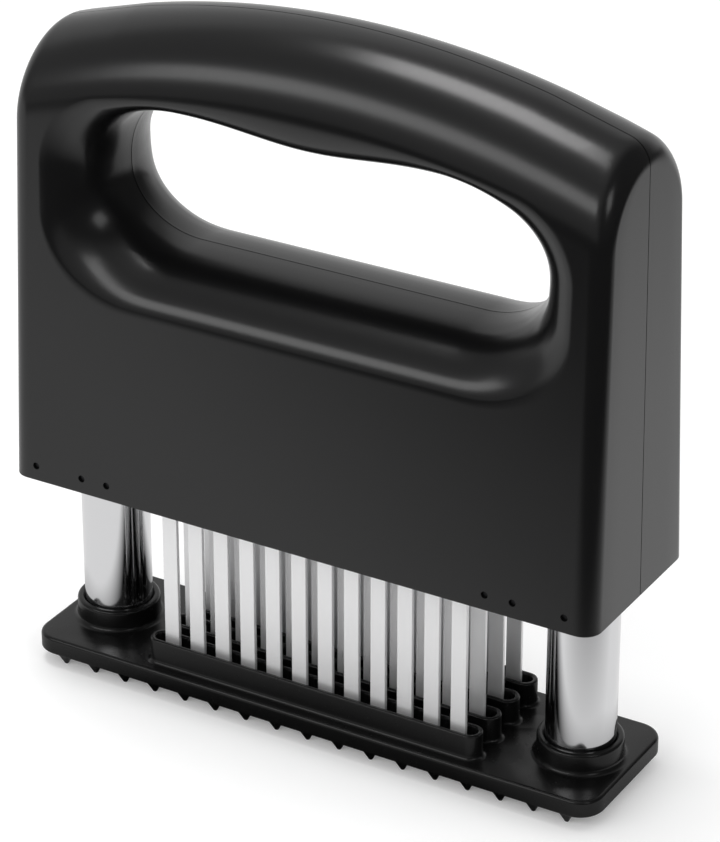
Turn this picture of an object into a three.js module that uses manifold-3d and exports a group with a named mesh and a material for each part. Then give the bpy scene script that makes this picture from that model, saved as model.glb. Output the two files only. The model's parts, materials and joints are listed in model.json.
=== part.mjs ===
// Blade meat tenderizer: a hand press whose handle slides down two sprung columns,
// so that four rows of blades pass through the slots of a toothed guard plate.
// Millimetres, +Z up, +X to the right seen from the front, the front faces -Y.
// The origin is centred under the plate, level with the tips of its teeth.

import * as THREE from 'three';
import { mergeVertices } from 'three/addons/utils/BufferGeometryUtils.js';
import Module from 'manifold-3d';

const wasm = await Module();
wasm.setup();

// Fits and cuts
const runningFit = 0.15;
const seatGap = 0.3;
const partingGap = 0.2;
const cutOverrun = 2;

// Blades
const bladeRows = 4;
const bladesInRow = 12;
const rowPitch = 8.6;
const bladePitch = 6.85;
const bladeWidth = 3.8;
const bladeThickness = 1;
const bladeTipWidth = 0.5;
const bladeTipLength = 5;
const bladeTipLift = 5.15;

// Teeth under the guard plate
const toothHeight = 3.45;
const toothBase = 3.8;
const toothTip = 0.9;
const toothPitch = 8.3;
const toothInset = 1.4;
const toothSink = 0.6;

// Guard plate, with a raised rim round each slot and a collar round each column
const plateThickness = 4.2;
const plateEndMargin = 12.5;
const plateSideMargin = 2.9;
const plateCornerRadius = 6;
const plateEdgeRound = 0.9;
const slotSideGap = 1.2;
const slotEndGap = 2.725;
const rimWall = 1.2;
const rimHeight = 6.2;
const rimLipRound = 0.4;
const rimToCollar = 6.85;
const collarWall = 1.8;
const collarHeight = 5.3;
const collarFlare = 1.3;
const collarFlareHeight = 1.6;
const collarLipRound = 0.7;
const socketFloor = 2.9;

// Columns and what is in them
const columnRadius = 8;
const columnWall = 1.2;
const columnEndLength = 1.8;
const columnChamfer = 0.5;
const travel = 36.5;
const pressGap = 1.35;
const grooveDepth = 0.5;
const stopRingThickness = 1.1;
const stopRingWidth = 1.6;
const plugHeight = 11.4;
const plugSpigotHeight = 4;
const screwRadius = 1.9;
const screwHeadRadius = 3.4;
const screwHeadHeight = 1.3;
const screwLength = 10.5;
const screwSocketRadius = 1.1;
const screwSocketDepth = 0.8;
const springWire = 1;
const springSideGap = 0.7;
const springEndGap = 0.6;
const springInnerGap = 0.8;
const springCurls = 12;
const springSteps = 8;
const springSides = 5;
const springCapThickness = 2;
const springCapLip = 1.1;
const springPostLength = 12;

// Handle housing, in two half shells
const housingEndMargin = 5.55;
const housingOverhang = 4.15;
const lengthDraftShare = 0.016;
const depthDraftShare = 0.046;
const archRadius = 208;
const endEdgeRadius = 5.5;
const crownRise = 18.3;
const crownFlat = 0.6;
const shellWall = 2.5;
const ribThickness = 2.4;
const ribSpacing = 32;

// Finger hole at the parting plane, and the dish that surrounds it
const sillMargin = 0.4;
const holeHeight = 36;
const holeDip = 1.8;
const holeEndMargin = 20.3;
const holeCornerReach = 16.5;
const holeCornerRise = 14.6;
const holeSideLength = 1;
const holeCrownReach = 23.7;
const gripHeight = 22.1;
const dishEndMargin = 9;
const dishDrop = 10.5;
const dishCornerReach = 24;
const dishCornerRise = 19.1;
const dishCrownReach = 10;
const dishCrownDrop = 7;
const dishFadeHeight = 18;

// Guide blocks, blade carrier and pins
const blockRecess = 0.5;
const blockHeight = 15.8;
const blockWall = 1.65;
const stripInset = 0.2;
const stripTopInset = 2;
const pinHeight = 3.55;
const pinHoleRadius = 0.85;
const pinRecess = 1;
const pinEndMargin = 2.7;
const guidePinOffset = 6.2;
const guidePinDepth = 0.8;

// A slot's corner radius as a share of half its width, which keeps its outline's points apart
const slotRoundShare = 0.999;

// Facets
const roundFacets = 24;
const screwFacets = 12;
const pinFacets = 8;
const arcFacets = 5;
const slotEndFacets = 3;
const gripFacets = 5;
const crownFacets = 8;
const flatFacets = 2;
const archStations = 10;

// The hole's rolled lip and the dish, from the parting plane out past the face: how far each
// ring lies from the hole's outline to the dish's, and how deep as a share of the half depth,
// where the dish is full and above it, where only the lip is left
const lipOutlineShares = [0, 0, 0.03, 0.1, 0.26, 0.55, 0.86, 1, 1.06];
const dishDepthShares = [-0.1, 0, 0.35, 0.62, 0.8, 0.87, 0.885, 0.985, 1.15];
const rollDepthShares = [-0.1, 0, 0.66, 0.78, 0.88, 0.96, 1.01, 1.04, 1.15];

// Places along the length, from the rows of blades out to the ends
const bladeRowHalf = (bladeRows - 1) / 2;
const bladeHalf = (bladesInRow - 1) / 2;
const slotWidth = bladeThickness + slotSideGap * 2;
const slotHalfLength = bladeHalf * bladePitch + bladeWidth / 2 + slotEndGap;
const collarRadius = columnRadius + collarWall;
const columnX = slotHalfLength + rimWall + rimToCollar + collarRadius + collarFlare;
const plateLength = (columnX + plateEndMargin) * 2;
const halfLength = columnX + columnRadius + housingEndMargin;
const blockInnerX = columnX - columnRadius - blockWall;
const carrierHalfLength = blockInnerX - seatGap;
const stripHalfLength = carrierHalfLength - seatGap;
const bladePinX = stripHalfLength - pinEndMargin;
const holeHalfWidth = halfLength - holeEndMargin;
const dishHalfWidth = halfLength - dishEndMargin;

// Places across the depth
const plateWidth = bladeRowHalf * rowPitch * 2 + slotWidth + (rimWall + plateSideMargin) * 2;
const halfDepth = plateWidth / 2 + housingOverhang;
const columnBore = columnRadius - columnWall;
const springRadius = columnBore - springSideGap - springWire / 2;
const plugSpigotRadius = springRadius - springWire / 2 - springInnerGap;
const springCapRadius = springRadius + springWire / 2 + springCapLip;
const guidePinEnd = columnRadius - guidePinDepth;
const pinRadius = pinHoleRadius - runningFit / 2;

// Levels, from the guard plate up to the grip
const plateUnderside = toothHeight;
const plateTop = plateUnderside + plateThickness;
const rimTop = plateTop + rimHeight;
const collarTop = plateTop + collarHeight;
const socketLevel = plateUnderside + socketFloor;
const plugBottom = socketLevel + seatGap;
const plugTop = plugBottom + plugHeight;
const bladeTipLevel = plateUnderside + bladeTipLift;
const housingBottom = rimTop + travel + pressGap;
const pinLevel = housingBottom + pinHeight;
const blockBottomLevel = housingBottom + blockRecess;
const blockTopLevel = blockBottomLevel + blockHeight;
const stripBottomLevel = blockBottomLevel + stripInset;
const stripTopLevel = blockTopLevel - stripTopInset;
const stopRingLevel = blockTopLevel + seatGap;
const columnTopLevel = stopRingLevel + stopRingThickness + columnEndLength;
const springCapLevel = columnTopLevel + travel + seatGap;
const springBottom = plugTop + seatGap;
const springTop = springCapLevel - seatGap;
const holeBottom = springCapLevel + springCapThickness + sillMargin;
const holeSideLow = holeBottom + holeCornerRise;
const holeSideHigh = holeSideLow + holeSideLength;
const holeLobeLevel = holeBottom + holeHeight;
const holeDipLevel = holeLobeLevel - holeDip;
const housingTop = holeLobeLevel + gripHeight;
const dishBottom = holeBottom - dishDrop;
const dishSideLow = dishBottom + dishCornerRise;
const dishTopLevel = housingTop - crownRise;
const dishCrownLevel = dishTopLevel - archDrop(dishHalfWidth - dishCrownReach);
const dishSideHigh = dishCrownLevel - dishCrownDrop;

const unitX = new THREE.Vector3(1, 0, 0);
const unitZ = new THREE.Vector3(0, 0, 1);
const quarterTurn = Math.PI / 2;
const fullTurn = Math.PI * 2;
const quarterTurnDegrees = 90;

// Colours and finishes
const blackPlastic = { color: 0x2d2d2e, roughness: 0.5, metalness: 0 };
const guardPlastic = { color: 0x1d1f1f, roughness: 0.35, metalness: 0 };
const innerPlastic = { color: 0x3a3b3c, roughness: 0.6, metalness: 0 };
const polishedSteel = { color: 0xd9dadb, roughness: 0.12, metalness: 1 };
const bladeSteel = { color: 0xcfd0d1, roughness: 0.28, metalness: 1 };
const springSteel = { color: 0xa7a9ab, roughness: 0.3, metalness: 1 };
const darkSteel = { color: 0x4a4b4d, roughness: 0.4, metalness: 1 };

// How far the grip's arch has dropped at a place along its length
function archDrop(x) {
  return archRadius - Math.sqrt(archRadius * archRadius - x * x);
}

// A closed three.js geometry as a solid, with its faces pointing out
function solidOf(geometry) {
  const bare = geometry.index ? geometry.clone() : geometry;
  bare.deleteAttribute('normal');
  bare.deleteAttribute('uv');
  const merged = mergeVertices(bare);
  const places = Float32Array.from(merged.attributes.position.array);
  const corners = Uint32Array.from(merged.index.array);
  if (signedVolume(places, corners) < 0) {
    corners.reverse();
  }
  return new wasm.Manifold(new wasm.Mesh({
    numProp: 3,
    vertProperties: places,
    triVerts: corners,
  }));
}

function signedVolume(places, corners) {
  const a = new THREE.Vector3();
  const b = new THREE.Vector3();
  const c = new THREE.Vector3();
  let total = 0;
  for (let i = 0; i < corners.length; i += 3) {
    a.fromArray(places, corners[i] * 3);
    b.fromArray(places, corners[i + 1] * 3);
    c.fromArray(places, corners[i + 2] * 3);
    total += a.dot(b.cross(c));
  }
  return total;
}

function geometryOf(solid) {
  const mesh = solid.getMesh();
  const geometry = new THREE.BufferGeometry();
  geometry.setAttribute('position', new THREE.BufferAttribute(mesh.vertProperties, mesh.numProp));
  geometry.setIndex(new THREE.BufferAttribute(mesh.triVerts, 1));
  geometry.computeVertexNormals();
  return geometry;
}

// Rings of [x, y, z] points joined in order, with both ends closed
function loft(rings) {
  const count = rings[0].length;
  const places = rings.flat(2);
  const corners = [];
  for (let r = 0; r + 1 < rings.length; r += 1) {
    for (let i = 0; i < count; i += 1) {
      const j = (i + 1) % count;
      const low = r * count;
      const high = low + count;
      corners.push(low + i, low + j, high + j, low + i, high + j, high + i);
    }
  }
  closeEnd(places, corners, rings[0], 0, true);
  closeEnd(places, corners, rings.at(-1), (rings.length - 1) * count, false);
  const geometry = new THREE.BufferGeometry();
  geometry.setAttribute('position', new THREE.Float32BufferAttribute(places, 3));
  geometry.setIndex(corners);
  return solidOf(geometry);
}

function closeEnd(places, corners, ring, start, first) {
  const middle = places.length / 3;
  const count = ring.length;
  for (const axis of [0, 1, 2]) {
    places.push(ring.reduce((sum, point) => sum + point[axis], 0) / count);
  }
  for (let i = 0; i < count; i += 1) {
    const here = start + i;
    const next = start + ((i + 1) % count);
    corners.push(middle, first ? next : here, first ? here : next);
  }
}

// A shape in the XY plane raised from one level to another
function prism(shape, low, high, facets) {
  const geometry = new THREE.ExtrudeGeometry(shape, {
    depth: high - low,
    bevelEnabled: false,
    curveSegments: facets,
  });
  geometry.translate(0, 0, low);
  return solidOf(geometry);
}

// A shape drawn in the XZ plane, as thick as given along Y and centred on a row
function upright(shape, thickness, rowY) {
  const geometry = new THREE.ExtrudeGeometry(shape, { depth: thickness, bevelEnabled: false });
  geometry.rotateX(quarterTurn);
  geometry.translate(0, rowY + thickness / 2, 0);
  return solidOf(geometry);
}

// A profile of [radius, level] points turned about the Z axis
function turned(profile, facets) {
  const points = profile.map(([radius, level]) => new THREE.Vector2(radius, level));
  const geometry = new THREE.LatheGeometry(points, facets);
  geometry.rotateX(quarterTurn);
  return solidOf(geometry);
}

function rod(radius, low, high, facets) {
  return turned([[0, low], [radius, low], [radius, high], [0, high]], facets);
}

function box(lowX, highX, lowY, highY, lowZ, highZ) {
  const geometry = new THREE.BoxGeometry(highX - lowX, highY - lowY, highZ - lowZ);
  geometry.translate((lowX + highX) / 2, (lowY + highY) / 2, (lowZ + highZ) / 2);
  return solidOf(geometry);
}

function roundedRectangle(lowX, highX, lowY, highY, radius) {
  const shape = new THREE.Shape();
  shape.moveTo(lowX + radius, lowY);
  shape.lineTo(highX - radius, lowY);
  shape.absarc(highX - radius, lowY + radius, radius, -quarterTurn, 0, false);
  shape.lineTo(highX, highY - radius);
  shape.absarc(highX - radius, highY - radius, radius, 0, quarterTurn, false);
  shape.lineTo(lowX + radius, highY);
  shape.absarc(lowX + radius, highY - radius, radius, quarterTurn, Math.PI, false);
  shape.lineTo(lowX, lowY + radius);
  shape.absarc(lowX + radius, lowY + radius, radius, Math.PI, Math.PI + quarterTurn, false);
  return shape;
}

// A slab with rounded corners: [level, inset] pairs from the bottom up
function slab(length, width, radius, levels) {
  const rings = levels.map(([level, inset]) => {
    const halfX = length / 2 - inset;
    const halfY = width / 2 - inset;
    const shape = roundedRectangle(-halfX, halfX, -halfY, halfY, radius - inset);
    const points = shape.extractPoints(arcFacets).shape;
    return points.map((point) => [point.x, point.y, level]);
  });
  return loft(rings);
}

// A slot with round ends along X, raised between two levels and centred on a row
function stadium(halfLengthX, width, rowY, low, high) {
  const radius = width / 2;
  const shape = roundedRectangle(
    -halfLengthX, halfLengthX, rowY - radius, rowY + radius, radius * slotRoundShare,
  );
  return prism(shape, low, high, slotEndFacets);
}

// Guard plate: slab, collars, slot rims and teeth in one moulding
function guardPlate() {
  let plate = slab(plateLength, plateWidth, plateCornerRadius, [
    [plateUnderside, 0],
    [plateTop - plateEdgeRound, 0],
    [plateTop - plateEdgeRound / 3, plateEdgeRound / 3],
    [plateTop, plateEdgeRound],
  ]);
  for (const side of [-1, 1]) {
    plate = plate.add(collar().translate(side * columnX, 0, 0));
  }
  for (let row = 0; row < bladeRows; row += 1) {
    plate = plate.add(slotRim(rowPlace(row)));
  }
  plate = plate.add(wasm.Manifold.union(teeth()));
  for (let row = 0; row < bladeRows; row += 1) {
    plate = plate.subtract(bladeSlot(rowPlace(row)));
  }
  for (const side of [-1, 1]) {
    plate = plate.subtract(columnSocket().translate(side * columnX, 0, 0));
  }
  return plate;
}

function rowPlace(row) {
  return (row - bladeRowHalf) * rowPitch;
}

function collar() {
  const root = plateTop - plateEdgeRound;
  return turned([
    [0, root],
    [collarRadius + collarFlare, root],
    [collarRadius + collarFlare, plateTop],
    [collarRadius + collarFlare / 3, plateTop + collarFlareHeight / 3],
    [collarRadius, plateTop + collarFlareHeight],
    [collarRadius, collarTop - collarLipRound],
    [collarRadius - collarLipRound, collarTop],
    [0, collarTop],
  ], roundFacets);
}

function slotRim(rowY) {
  const reach = slotHalfLength + rimWall;
  const width = slotWidth + rimWall * 2;
  const root = plateTop - plateEdgeRound;
  const shoulder = rimTop - rimLipRound;
  const lower = stadium(reach, width, rowY, root, shoulder);
  const lip = stadium(
    reach - rimLipRound, width - rimLipRound * 2, rowY, root, rimTop,
  );
  return lower.add(lip);
}

function bladeSlot(rowY) {
  return stadium(
    slotHalfLength, slotWidth, rowY,
    plateUnderside - cutOverrun, rimTop + cutOverrun,
  );
}

// Socket for the column, and below it the hole and the recess for its screw
function columnSocket() {
  const headRecess = plateUnderside + screwHeadHeight + seatGap;
  return turned([
    [0, plateUnderside - cutOverrun],
    [screwHeadRadius + seatGap, plateUnderside - cutOverrun],
    [screwHeadRadius + seatGap, headRecess],
    [screwRadius + runningFit, headRecess],
    [screwRadius + runningFit, socketLevel],
    [columnRadius + runningFit, socketLevel],
    [columnRadius + runningFit, collarTop + cutOverrun],
    [0, collarTop + cutOverrun],
  ], roundFacets);
}

// A row of four-sided teeth along the front edge and along the back edge
function teeth() {
  const countEachWay = Math.floor((plateLength / 2 - toothInset - toothBase / 2) / toothPitch);
  const rowY = plateWidth / 2 - toothInset - toothBase / 2;
  const list = [];
  for (const side of [-1, 1]) {
    for (let i = -countEachWay; i <= countEachWay; i += 1) {
      list.push(tooth().translate(i * toothPitch, side * rowY, 0));
    }
  }
  return list;
}

function tooth() {
  const spread = (toothBase - toothTip) / toothHeight;
  const rootLevel = plateUnderside + toothSink;
  return loft([[0, toothTip], [rootLevel, toothTip + spread * rootLevel]].map(([level, width]) => {
    const half = width / 2;
    return [[-half, -half, level], [half, -half, level], [half, half, level], [-half, half, level]];
  }));
}

// Steel tube with a groove near its top for the stop ring
function column() {
  const grooveLow = stopRingLevel - runningFit;
  const grooveHigh = stopRingLevel + stopRingThickness + runningFit;
  const grooveRadius = columnRadius - grooveDepth;
  const foot = socketLevel + seatGap;
  return turned([
    [columnBore, foot],
    [columnRadius, foot],
    [columnRadius, grooveLow],
    [grooveRadius, grooveLow],
    [grooveRadius, grooveHigh],
    [columnRadius, grooveHigh],
    [columnRadius, columnTopLevel - columnChamfer],
    [columnRadius - columnChamfer, columnTopLevel],
    [columnBore, columnTopLevel],
    [columnBore, foot],
  ], roundFacets);
}

// Threaded plug in the column's foot, with a spigot that centres the spring
function footPlug() {
  const radius = columnBore - runningFit;
  const bore = screwRadius + runningFit;
  const boreTop = plateUnderside + screwLength + seatGap * 2;
  return turned([
    [bore, plugBottom],
    [radius, plugBottom],
    [radius, plugTop],
    [plugSpigotRadius, plugTop],
    [plugSpigotRadius, plugTop + plugSpigotHeight],
    [0, plugTop + plugSpigotHeight],
    [0, boreTop],
    [bore, boreTop],
    [bore, plugBottom],
  ], roundFacets);
}

function columnScrew() {
  const headLow = plateUnderside + seatGap / 2;
  const headHigh = headLow + screwHeadHeight;
  const body = turned([
    [0, headLow],
    [screwHeadRadius - screwHeadHeight / 3, headLow],
    [screwHeadRadius, headLow + screwHeadHeight / 3],
    [screwHeadRadius, headHigh],
    [screwRadius, headHigh],
    [screwRadius, headLow + screwLength],
    [0, headLow + screwLength],
  ], screwFacets);
  return body.subtract(
    rod(screwSocketRadius, headLow - cutOverrun, headLow + screwSocketDepth, screwFacets / 2),
  );
}

function stopRing() {
  const inner = columnRadius - grooveDepth + runningFit;
  const outer = columnRadius + stopRingWidth;
  const low = stopRingLevel;
  const high = stopRingLevel + stopRingThickness;
  const ring = turned(
    [[inner, low], [outer, low], [outer, high], [inner, high], [inner, low]], roundFacets,
  );
  const mouth = columnRadius / 3;
  return ring.subtract(box(
    -mouth, mouth, -outer - cutOverrun, -columnBore, low - cutOverrun, high + cutOverrun,
  ));
}

// One unbroken wire wound upwards, with a closed turn at each end
function returnSpring() {
  const wire = springWire / 2;
  const steps = springCurls * springSteps;
  const low = springBottom + wire;
  const high = springTop - wire;
  const closedRise = springWire + springEndGap;
  const openRise = (high - low - closedRise * 2) / (springCurls - 2);
  const centres = [];
  for (let step = 0; step <= steps; step += 1) {
    const turn = step / springSteps;
    const opened = Math.min(Math.max(turn - 1, 0), springCurls - 2);
    const closed = turn - opened;
    const angle = turn * fullTurn;
    centres.push(new THREE.Vector3(
      springRadius * Math.cos(angle),
      springRadius * Math.sin(angle),
      low + closed * closedRise + opened * openRise,
    ));
  }
  console.log('least gap of the spring to itself, mm:', leastSelfGap(centres).toFixed(2));
  return loft(centres.map((centre, step) => {
    const angle = (step / springSteps) * fullTurn;
    const out = unitX.clone().applyAxisAngle(unitZ, angle);
    const ring = [];
    for (let side = 0; side < springSides; side += 1) {
      const turnOfSide = (side / springSides) * fullTurn;
      const point = centre.clone()
        .addScaledVector(out, wire * Math.cos(turnOfSide))
        .addScaledVector(unitZ, wire * Math.sin(turnOfSide));
      ring.push(point.toArray());
    }
    return ring;
  }));
}

function leastSelfGap(centres) {
  let least = Infinity;
  for (let i = 0; i < centres.length; i += 1) {
    for (let j = i + springSteps / 2; j < centres.length; j += 1) {
      least = Math.min(least, centres[i].distanceTo(centres[j]) - springWire);
    }
  }
  return least;
}

// Cap that the spring pushes on, with a post down its middle
function springCap() {
  return turned([
    [0, springCapLevel - springPostLength],
    [plugSpigotRadius, springCapLevel - springPostLength],
    [plugSpigotRadius, springCapLevel],
    [springCapRadius, springCapLevel],
    [springCapRadius, springCapLevel + springCapThickness],
    [0, springCapLevel + springCapThickness],
  ], roundFacets);
}

// Stamped strip with its blades; a pin passes through each end
function bladeStrip(row) {
  const shape = new THREE.Shape();
  shape.moveTo(-stripHalfLength, stripTopLevel);
  shape.lineTo(-stripHalfLength, stripBottomLevel);
  for (let i = 0; i < bladesInRow; i += 1) {
    const middle = (i - bladeHalf) * bladePitch;
    const left = middle - bladeWidth / 2;
    const right = middle + bladeWidth / 2;
    shape.lineTo(left, stripBottomLevel);
    shape.lineTo(left, bladeTipLevel + bladeTipLength);
    shape.lineTo(middle - bladeTipWidth / 2, bladeTipLevel);
    shape.lineTo(middle + bladeTipWidth / 2, bladeTipLevel);
    shape.lineTo(right, bladeTipLevel + bladeTipLength);
    shape.lineTo(right, stripBottomLevel);
  }
  shape.lineTo(stripHalfLength, stripBottomLevel);
  shape.lineTo(stripHalfLength, stripTopLevel);
  let strip = upright(shape, bladeThickness, rowPlace(row));
  for (const side of [-1, 1]) {
    strip = strip.subtract(crossHole(side * bladePinX, -halfDepth, halfDepth));
  }
  return strip;
}

// A round bar along Y at the pins' level
function crossBar(radius, x, lowY, highY) {
  return rod(radius, lowY, highY, pinFacets).rotate([-quarterTurnDegrees, 0, 0])
    .translate(x, 0, pinLevel);
}

function crossHole(x, lowY, highY) {
  return crossBar(pinHoleRadius, x, lowY, highY);
}

// Half depth and half length of the housing at a level, after its draft
function depthAt(level) {
  return halfDepth - depthDraftShare * (level - housingBottom);
}

function lengthAt(level) {
  return halfLength - lengthDraftShare * (level - housingBottom);
}

function blockHalfDepth() {
  return depthAt(blockTopLevel) - shellWall - seatGap;
}

// Block that holds the blade strips in slots open at the bottom and the ends
function bladeCarrier() {
  const deep = blockHalfDepth();
  let carrier = box(
    -carrierHalfLength, carrierHalfLength, -deep, deep, blockBottomLevel, blockTopLevel,
  );
  const slotHalf = bladeThickness / 2 + runningFit;
  const reach = carrierHalfLength + cutOverrun;
  for (let row = 0; row < bladeRows; row += 1) {
    const rowY = rowPlace(row);
    carrier = carrier.subtract(box(
      -reach, reach, rowY - slotHalf, rowY + slotHalf,
      blockBottomLevel - cutOverrun, stripTopLevel + seatGap,
    ));
  }
  for (const side of [-1, 1]) {
    carrier = carrier.subtract(crossHole(side * bladePinX, -halfDepth, halfDepth));
  }
  return carrier;
}

// Block that slides on the right-hand column
function guideBlock() {
  const deep = blockHalfDepth();
  const outer = lengthAt(blockTopLevel) - shellWall - seatGap;
  const corner = endEdgeRadius - shellWall - seatGap;
  const shape = roundedRectangle(blockInnerX, outer, -deep, deep, corner);
  const bore = rod(
    columnRadius + runningFit, blockBottomLevel - cutOverrun, blockTopLevel + cutOverrun,
    roundFacets,
  );
  let block = prism(shape, blockBottomLevel, blockTopLevel, arcFacets)
    .subtract(bore.translate(columnX, 0, 0));
  for (const offset of [-guidePinOffset, guidePinOffset]) {
    for (const face of [-1, 1]) {
      const ends = [face * (guidePinEnd - seatGap), face * halfDepth];
      block = block.subtract(crossHole(columnX + offset, Math.min(...ends), Math.max(...ends)));
    }
  }
  return block;
}

function bladePin(side) {
  const reach = depthAt(pinLevel) - pinRecess;
  return crossBar(pinRadius, side * bladePinX, -reach, reach);
}

function guidePin(x, face) {
  const ends = [face * guidePinEnd, face * (depthAt(pinLevel) - pinRecess)];
  return crossBar(pinRadius, x, Math.min(...ends), Math.max(...ends));
}

// Outlines in the XZ plane as [x, level] points, all with the same number of points, so that
// rings between two of them join up. Anticlockwise from the middle of the bottom.
function outline(edge) {
  const right = [];
  for (let i = 0; i < flatFacets; i += 1) {
    right.push([(edge.cornerX * i) / flatFacets, edge.bottom]);
  }
  for (let i = 0; i < arcFacets; i += 1) {
    const angle = (quarterTurn * i) / arcFacets;
    right.push([
      edge.cornerX + (edge.halfWidth - edge.cornerX) * Math.sin(angle),
      edge.sideLow - (edge.sideLow - edge.bottom) * Math.cos(angle),
    ]);
  }
  for (let i = 0; i < flatFacets; i += 1) {
    const rise = (edge.sideHigh - edge.sideLow) / flatFacets;
    right.push([edge.halfWidth, edge.sideLow + rise * i]);
  }
  for (let i = 0; i < arcFacets; i += 1) {
    const angle = (quarterTurn * i) / arcFacets;
    right.push([
      edge.crownX + (edge.halfWidth - edge.crownX) * Math.cos(angle),
      edge.sideHigh + (edge.crownLevel - edge.sideHigh) * Math.sin(angle),
    ]);
  }
  for (let i = 0; i <= gripFacets; i += 1) {
    const share = 1 - i / gripFacets;
    const drop = (edge.middleLevel - edge.crownLevel) * edge.crownCurve(share);
    right.push([edge.crownX * share, edge.middleLevel - drop]);
  }
  const left = right.slice(1, -1).map(([x, level]) => [-x, level]).reverse();
  return right.concat(left);
}

function holeEdge(grow) {
  return {
    bottom: holeBottom - grow,
    cornerX: holeHalfWidth - holeCornerReach,
    halfWidth: holeHalfWidth + grow,
    sideLow: holeSideLow,
    sideHigh: holeSideHigh,
    crownX: holeHalfWidth - holeCrownReach,
    crownLevel: holeLobeLevel + grow,
    middleLevel: holeDipLevel + grow,
    crownCurve: (share) => (1 - Math.cos(share * Math.PI)) / 2,
  };
}

function dishEdge(grow) {
  return {
    bottom: dishBottom - grow,
    cornerX: dishHalfWidth - dishCornerReach,
    halfWidth: dishHalfWidth + grow,
    sideLow: dishSideLow,
    sideHigh: dishSideHigh,
    crownX: dishHalfWidth - dishCrownReach,
    crownLevel: dishCrownLevel + grow,
    middleLevel: dishTopLevel + grow,
    crownCurve: (share) => share * share,
  };
}

// From 0 to 1 with a soft start and end
function fade(share) {
  const held = Math.min(Math.max(share, 0), 1);
  return held * held * (3 - 2 * held);
}

// The space of the finger hole and the dish on the front half, made larger by a wall. Inside
// the shell every other ring is enough.
function fingerSpace(grow) {
  const inner = outline(holeEdge(grow));
  const outer = outline(dishEdge(grow));
  const step = grow > 0 ? 2 : 1;
  const rings = [];
  for (let ring = 0; ring < lipOutlineShares.length; ring += step) {
    rings.push(inner.map(([x, level], i) => {
      const atX = x + (outer[i][0] - x) * lipOutlineShares[ring];
      const atLevel = level + (outer[i][1] - level) * lipOutlineShares[ring];
      const faded = fade((outer[i][1] - dishSideLow) / dishFadeHeight);
      const full = dishDepthShares[ring];
      const depth = depthAt(atLevel) * (full + (rollDepthShares[ring] - full) * faded);
      const behind = full > 0 ? grow : 0;
      return [atX, -(depth - behind), atLevel];
    }));
  }
  return loft(rings);
}

// The front half of the housing as a full body, made smaller by a wall on every side
function housingHalf(shrink, low, backY) {
  const reach = halfLength - shrink;
  const round = endEdgeRadius - shrink;
  const stations = [];
  for (let i = 0; i <= arcFacets; i += 1) {
    stations.push(reach - round + round * Math.sin((quarterTurn * i) / arcFacets));
  }
  const straight = reach - round;
  const positive = [];
  for (let i = 1; i < archStations / 2; i += 1) {
    positive.push((straight * i) / (archStations / 2));
  }
  positive.push(...stations);
  const all = [...positive.map((x) => -x).reverse(), 0, ...positive];
  return loft(all.map((x) => section(x, shrink, low, backY)));
}

// The housing's outline across its length: upright faces with a full round on top, drawn in
// all round where the ends have their rounded edge
function section(x, shrink, low, backY) {
  const reach = halfLength - shrink;
  const round = endEdgeRadius - shrink;
  const past = Math.max(Math.abs(x) - (reach - round), 0);
  const inset = round - Math.sqrt(Math.max(round * round - past * past, 0));
  const halfY = halfDepth - shrink - inset;
  const top = housingTop - shrink - archDrop(x) - inset;
  const rise = crownRise - shrink - inset;
  const points = [[backY, low], [-halfY, low]];
  for (let i = 0; i <= crownFacets; i += 1) {
    const angle = (quarterTurn * i) / crownFacets;
    points.push([
      -(crownFlat + (halfY - crownFlat) * Math.cos(angle)),
      top - rise + rise * Math.sin(angle),
    ]);
  }
  points.push([backY, top]);
  return points.map(([y, level]) => drafted(x, y, level, shrink));
}

// The housing narrows upwards: its faces lean in by its draft
function drafted(x, y, level, shrink) {
  const rise = level - housingBottom;
  const alongX = 1 - (lengthDraftShare * rise) / (halfLength - shrink);
  const alongY = 1 - (depthDraftShare * rise) / (halfDepth - shrink);
  return [x * alongX, y < 0 ? y * alongY : y, level];
}

// Ribs inside the shell, kept within its outer form
function ribs() {
  const within = housingHalf(shellWall / 2, housingBottom, -partingGap / 2)
    .subtract(fingerSpace(shellWall / 2));
  const list = [];
  for (const place of [-1, 0, 1]) {
    const x = place * ribSpacing;
    list.push(box(
      x - ribThickness / 2, x + ribThickness / 2, -halfDepth, -partingGap,
      blockTopLevel + seatGap, holeBottom - shellWall / 2,
    ));
  }
  for (const side of [-1, 1]) {
    const x = side * columnX;
    const low = springCapLevel + springCapThickness + seatGap;
    list.push(box(
      x - ribThickness / 2, x + ribThickness / 2, -halfDepth, -partingGap,
      low, low + springCapRadius,
    ));
  }
  return wasm.Manifold.union(list).intersect(within);
}

function housingFront() {
  const space = housingHalf(shellWall, housingBottom - cutOverrun, cutOverrun)
    .subtract(fingerSpace(shellWall));
  let shell = housingHalf(0, housingBottom, -partingGap / 2)
    .subtract(fingerSpace(0))
    .subtract(space)
    .add(ribs());
  for (const side of [-1, 1]) {
    for (const x of [bladePinX, columnX - guidePinOffset, columnX + guidePinOffset]) {
      shell = shell.subtract(crossHole(side * x, -halfDepth - cutOverrun, 0));
    }
  }
  return shell;
}

const frontShell = housingFront();
const rightBlock = guideBlock();
const tube = column();
const plug = footPlug();
const screw = columnScrew();
const ring = stopRing();
const spring = returnSpring();
const cap = springCap();

const tenderizer = new THREE.Group();
const guard = new THREE.Group();
const handle = new THREE.Group();
tenderizer.add(guard, handle);

function place(group, name, solid, finish, x) {
  const mesh = new THREE.Mesh(geometryOf(solid), new THREE.MeshStandardMaterial(finish));
  mesh.name = name;
  mesh.position.set(x, 0, 0);
  group.add(mesh);
}

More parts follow.
